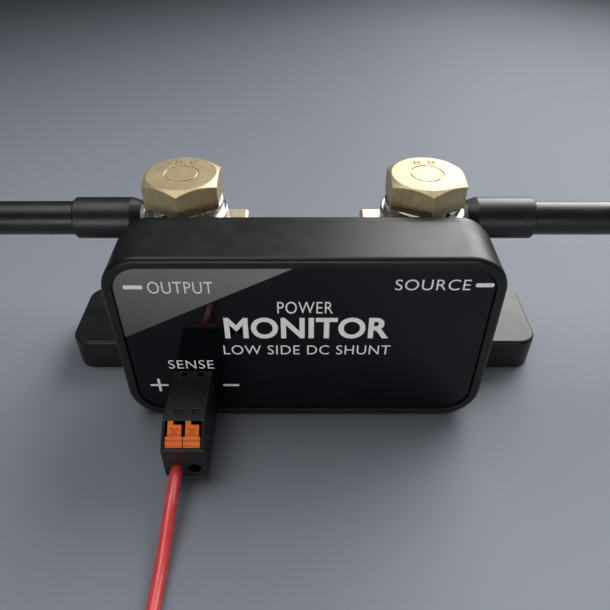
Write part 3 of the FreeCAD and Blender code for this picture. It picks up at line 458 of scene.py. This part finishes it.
def coil_turns():
    """Two flat layers of nearly five turns: inwards below, outwards above, each beside the last."""
    widen = 2 / (1 + math.cos(COIL_STEP))    # a spline runs inside its control points
    steps = round((COIL_END - COIL_START) / COIL_STEP)
    turns = []
    for index in range(steps + 1):
        angle = COIL_START + index * COIL_STEP
        inward = sum(eased((angle - jog) / JOG + 0.5) for jog in INWARD_JOGS)
        outward = sum(eased((angle - jog) / JOG + 0.5) for jog in OUTWARD_JOGS)
        radius = (COIL_OUTER - WIRE_DIAMETER * (inward - outward)) * widen
        level = LOWER_LEVEL + WIRE_DIAMETER * eased((angle - CLIMB) / JOG + 0.5)
        x = COIL_CENTRE[0] + radius * math.cos(angle)
        y = COIL_CENTRE[1] + radius * math.sin(angle)
        turns.append((x, y, level))
    return turns


def make_sense_wire(materials):
    wire = make_cord("sense_wire_cord", SENSE_WIRE_ROUTE + coil_turns() + TAIL_ROUTE, WIRE_DIAMETER,
                     materials["wire_red"])
    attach(wire, "plug")
    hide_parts("sense_wire", "sense_wire_coil")


CABLE_DIAMETER = 0.0081
CABLE_ROUTE = [(0.0468, 0, 0.0394), (0.0712, 0, 0.0393), (0.0956, 0, 0.0394)]


def make_heavy_cables(materials):
    for side, sign in SIDES:
        points = [(sign * x, y, z) for x, y, z in CABLE_ROUTE]
        cable = make_cord(f"power_cable_{side}", points, CABLE_DIAMETER, materials["cable_black"])
        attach(cable, "base")
        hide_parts(f"cable_{side}")


# ---------------------------------------------------------------- print and marks

PANEL_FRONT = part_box("front_panel")[0].y
INK_BACK = PANEL_FRONT - 0.00001
INK_FRONT = PANEL_FRONT - 0.00003


def text_mesh(name, words, bold):
    """The outline of some words as a thin mesh, in the XY plane, and its lowest and highest corners."""
    curve = bpy.data.curves.new(name, "FONT")
    curve.body = words
    curve.offset = 0.028 if bold else -0.004
    curve.space_character = 1.04 if bold else 1.08
    curve.extrude = 0.01
    curve.resolution_u = 6
    holder = place_object(name, curve)
    bpy.context.view_layer.update()
    mesh = bpy.data.meshes.new_from_object(holder.evaluated_get(bpy.context.evaluated_depsgraph_get()))
    bpy.data.objects.remove(holder)
    xs = [vertex.co.x for vertex in mesh.vertices]
    ys = [vertex.co.y for vertex in mesh.vertices]
    return mesh, (min(xs), min(ys)), (max(xs), max(ys))


def add_print(name, mesh, material):
    mesh.materials.append(material)
    piece = place_object(name, mesh)
    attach(piece, "base")


def print_words(name, words, x_range, z_range, material, bold):
    """Words printed on the panel, exactly filling that stretch of it in X and Z."""
    mesh, low, high = text_mesh(name, words, bold)
    wide = (x_range[1] - x_range[0]) / (high[0] - low[0])
    tall = (z_range[1] - z_range[0]) / (high[1] - low[1])
    for vertex in mesh.vertices:
        x = x_range[0] + (vertex.co.x - low[0]) * wide
        z = z_range[0] + (vertex.co.y - low[1]) * tall
        vertex.co = (x, INK_FRONT if vertex.co.z > 0 else INK_BACK, z)
    mesh.materials.clear()
    add_print(name, mesh, material)


def print_bar(name, corners, material):
    """A flat printed shape on the panel, from its corners in X and Z."""
    build = bmesh.new()
    front = [build.verts.new((x, INK_FRONT, z)) for x, z in corners]
    back = [build.verts.new((x, INK_BACK, z)) for x, z in corners]
    build.faces.new(front)
    build.faces.new(list(reversed(back)))
    for index in range(len(corners)):
        after = (index + 1) % len(corners)
        build.faces.new((front[index], back[index], back[after], front[after]))
    bmesh.ops.recalc_face_normals(build, faces=build.faces)
    mesh = bpy.data.meshes.new(name)
    build.to_mesh(mesh)
    build.free()
    add_print(name, mesh, material)


def dash(x_low, x_high, z, thick):
    """Outline of a dash whose corners are cut off a little."""
    half = thick / 2
    cut = thick * 0.25
    low, high = z - half, z + half
    return [(x_low + cut, low), (x_high - cut, low), (x_high, low + cut), (x_high, high - cut),
            (x_high - cut, high), (x_low + cut, high), (x_low, high - cut), (x_low, low + cut)]


def plus(x, z, arm, thick):
    """Outline of a plus sign."""
    near, far = thick / 2, arm / 2
    return [(x - near, z - far), (x + near, z - far), (x + near, z - near), (x + far, z - near),
            (x + far, z + near), (x + near, z + near), (x + near, z + far), (x - near, z + far),
            (x - near, z + near), (x - far, z + near), (x - far, z - near), (x - near, z - near)]


# each line of print, the stretch of the panel that it fills in X and Z, and whether it is bold
WORDS = (
    ("print_output", "OUTPUT", (-0.0323, -0.0188), (0.0382, 0.0413), False),
    ("print_source", "SOURCE", (0.0187, 0.0342), (0.0391, 0.04185), False),
    ("print_small", "POWER", (-0.0057, 0.0061), (0.03275, 0.0360), False),
    ("print_large", "MONITOR", (-0.0174, 0.01855), (0.0255, 0.0316), True),
    ("print_line", "LOW SIDE DC SHUNT", (-0.0181, 0.0193), (0.0206, 0.0234), False),
    ("print_sense", "SENSE", (-0.0312, -0.0208), (0.0160, 0.0187), False),
)


def make_print():
    ink = print_white().material
    for name, words, x_range, z_range, bold in WORDS:
        print_words(name, words, x_range, z_range, ink, bold)
    print_bar("print_dash_output", dash(-0.0373, -0.0333, 0.03985, 0.0010), ink)
    print_bar("print_dash_source", dash(0.0352, 0.0390, 0.0404, 0.0010), ink)
    print_bar("print_plus", plus(-0.0343, 0.0104, 0.00425, 0.0006), ink)
    print_bar("print_minus", dash(-0.0192, -0.0154, 0.0104, 0.0007), ink)


# ---------------------------------------------------------------- marks cut into CAD shapes

def cut_copy(name, node, cutter):
    """A copy of a CAD node's mesh with the cutter's shape taken out of it; it stands for that node."""
    piece = place_object(name, NODES[node].data.copy())
    piece.matrix_world = NODES[node].matrix_world.copy()
    change = piece.modifiers.new("cut", "BOOLEAN")
    change.operation = "DIFFERENCE"
    change.solver = "EXACT"
    change.use_self = True
    change.object = cutter
    bpy.context.view_layer.update()
    result = bpy.data.meshes.new_from_object(piece.evaluated_get(bpy.context.evaluated_depsgraph_get()))
    piece.modifiers.clear()
    result.shade_flat()
    piece.data = result
    bpy.data.objects.remove(cutter)
    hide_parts(node)
    return piece


GRADE_WIDTH = 0.0052
GRADE_HEIGHT = 0.0020
GRADE_RADIUS = 0.0054    # from the bolt's axis to the middle of the mark
MARK_DEPTH = 0.00018


def grade_cutter(x, top):
    """The strength grade of the bolt as a cutter, sunk into the head's top."""
    mesh, low, high = text_mesh("grade", "8.8", False)
    middle = ((low[0] + high[0]) / 2, (low[1] + high[1]) / 2)
    wide = GRADE_WIDTH / (high[0] - low[0])
    tall = GRADE_HEIGHT / (high[1] - low[1])
    for vertex in mesh.vertices:
        sunk = -MARK_DEPTH if vertex.co.z < 0 else MARK_DEPTH
        vertex.co = (x + (vertex.co.x - middle[0]) * wide,
                     GRADE_RADIUS + (vertex.co.y - middle[1]) * tall, top + sunk)
    return place_object("grade", mesh)


RELIEF_ARM = 0.0020      # length of each bar of the lever's crossed relief
RELIEF_BAR = 0.00032     # its width
RELIEF_RISE = 0.0007     # its thickness, half of it below the slope
RELIEF_MIDDLE = 0.0023   # down the slope from its upper edge
SLOPE_TOP = (-0.0428, 0.0156)     # Y and Z of the upper edge of the plug's slope
SLOPE_FOOT = (-0.0479, 0.0118)    # and of its lower edge


def relief_cutter(x):
    """Two crossed bars, half sunk into the plug's slope at one lever."""
    run = Vector((0, SLOPE_FOOT[0] - SLOPE_TOP[0], SLOPE_FOOT[1] - SLOPE_TOP[1])).normalized()
    across = Vector((1, 0, 0))
    out = run.cross(across)
    middle = Vector((x, *SLOPE_TOP)) + run * RELIEF_MIDDLE
    build = bmesh.new()
    for turn in (math.radians(42), math.radians(-42)):
        along = across * math.sin(turn) + run * math.cos(turn)
        aside = out.cross(along)
        bar = Matrix((along * RELIEF_ARM, aside * RELIEF_BAR, out * RELIEF_RISE)).transposed().to_4x4()
        bar.translation = middle
        bmesh.ops.create_cube(build, size=1, matrix=bar)
    mesh = bpy.data.meshes.new("relief")
    build.to_mesh(mesh)
    build.free()
    return place_object("relief", mesh)


def mark_levers():
    for name, x in POLES:
        lever = cut_copy(f"marked_lever_{name}", f"release_lever_{name}", relief_cutter(x))
        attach(lever, f"lever_{name}")


def mark_bolts():
    for side, _ in SIDES:
        node = f"terminal_bolt_{side}"
        low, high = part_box(node)
        bolt = cut_copy(f"marked_bolt_{side}", node, grade_cutter((low.x + high.x) / 2, high.z))
        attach(bolt, f"bolt_{side}")


# ---------------------------------------------------------------- floor and light

def floor_material():
    surface = Surface("floor_grey").set("Specular IOR Level", 0.15)
    cloud = surface.noise(0.25, 3)
    surface.colour(surface.blend(surface.spread(cloud, 0, 1),
                                 (0.221, 0.241, 0.281), (0.233, 0.253, 0.293)))
    surface.roughness(surface.spread(surface.noise(0.002, 4), 0.6, 0.7))
    surface.bump(surface.noise(0.0006, 3), 0.00001, 0.3)
    return surface.material


def make_floor():
    build = bmesh.new()
    bmesh.ops.create_grid(build, x_segments=8, y_segments=8, size=4)
    mesh = bpy.data.meshes.new("floor")
    build.to_mesh(mesh)
    build.free()
    mesh.materials.append(floor_material())
    place_object("floor", mesh)


# name, place, the point it faces, width and height, power, spread in degrees
SOFTBOXES = (
    ("softbox_back_right", (0.34, 0.30, 0.36), (0.05, -0.17, 0), (0.60, 0.52), 1.75, 76),
    ("softbox_top_left", (-0.20, 0.05, 0.70), (-0.02, -0.08, 0), (0.6, 0.5), 0.65, 84),
    ("fill_front", (-0.10, -0.90, 0.12), (0, 0, 0.03), (0.8, 0.2), 3.6, 180),
)
SOFTBOX_COLOUR = (1.0, 0.99, 0.97)


def area_light(name, place, target, size, power, spread):
    data = bpy.data.lights.new(name, "AREA")
    data.shape = "RECTANGLE"
    data.size, data.size_y = size
    data.energy = power
    data.spread = math.radians(spread)
    data.color = SOFTBOX_COLOUR
    light = place_object(name, data)
    light.location = place
    light.rotation_euler = (Vector(target) - Vector(place)).to_track_quat("-Z", "Y").to_euler()


def make_light():
    world = bpy.data.worlds.new("studio")
    world.use_nodes = True
    background = world.node_tree.nodes["Background"]
    background.inputs["Color"].default_value = (0.85, 0.92, 1.0, 1)
    background.inputs["Strength"].default_value = 0.05
    bpy.context.scene.world = world
    for softbox in SOFTBOXES:
        area_light(*softbox)


make_camera()
materials = finish_nodes()
make_sense_wire(materials)
make_heavy_cables(materials)
make_print()
mark_bolts()
mark_levers()
make_floor()
make_light()
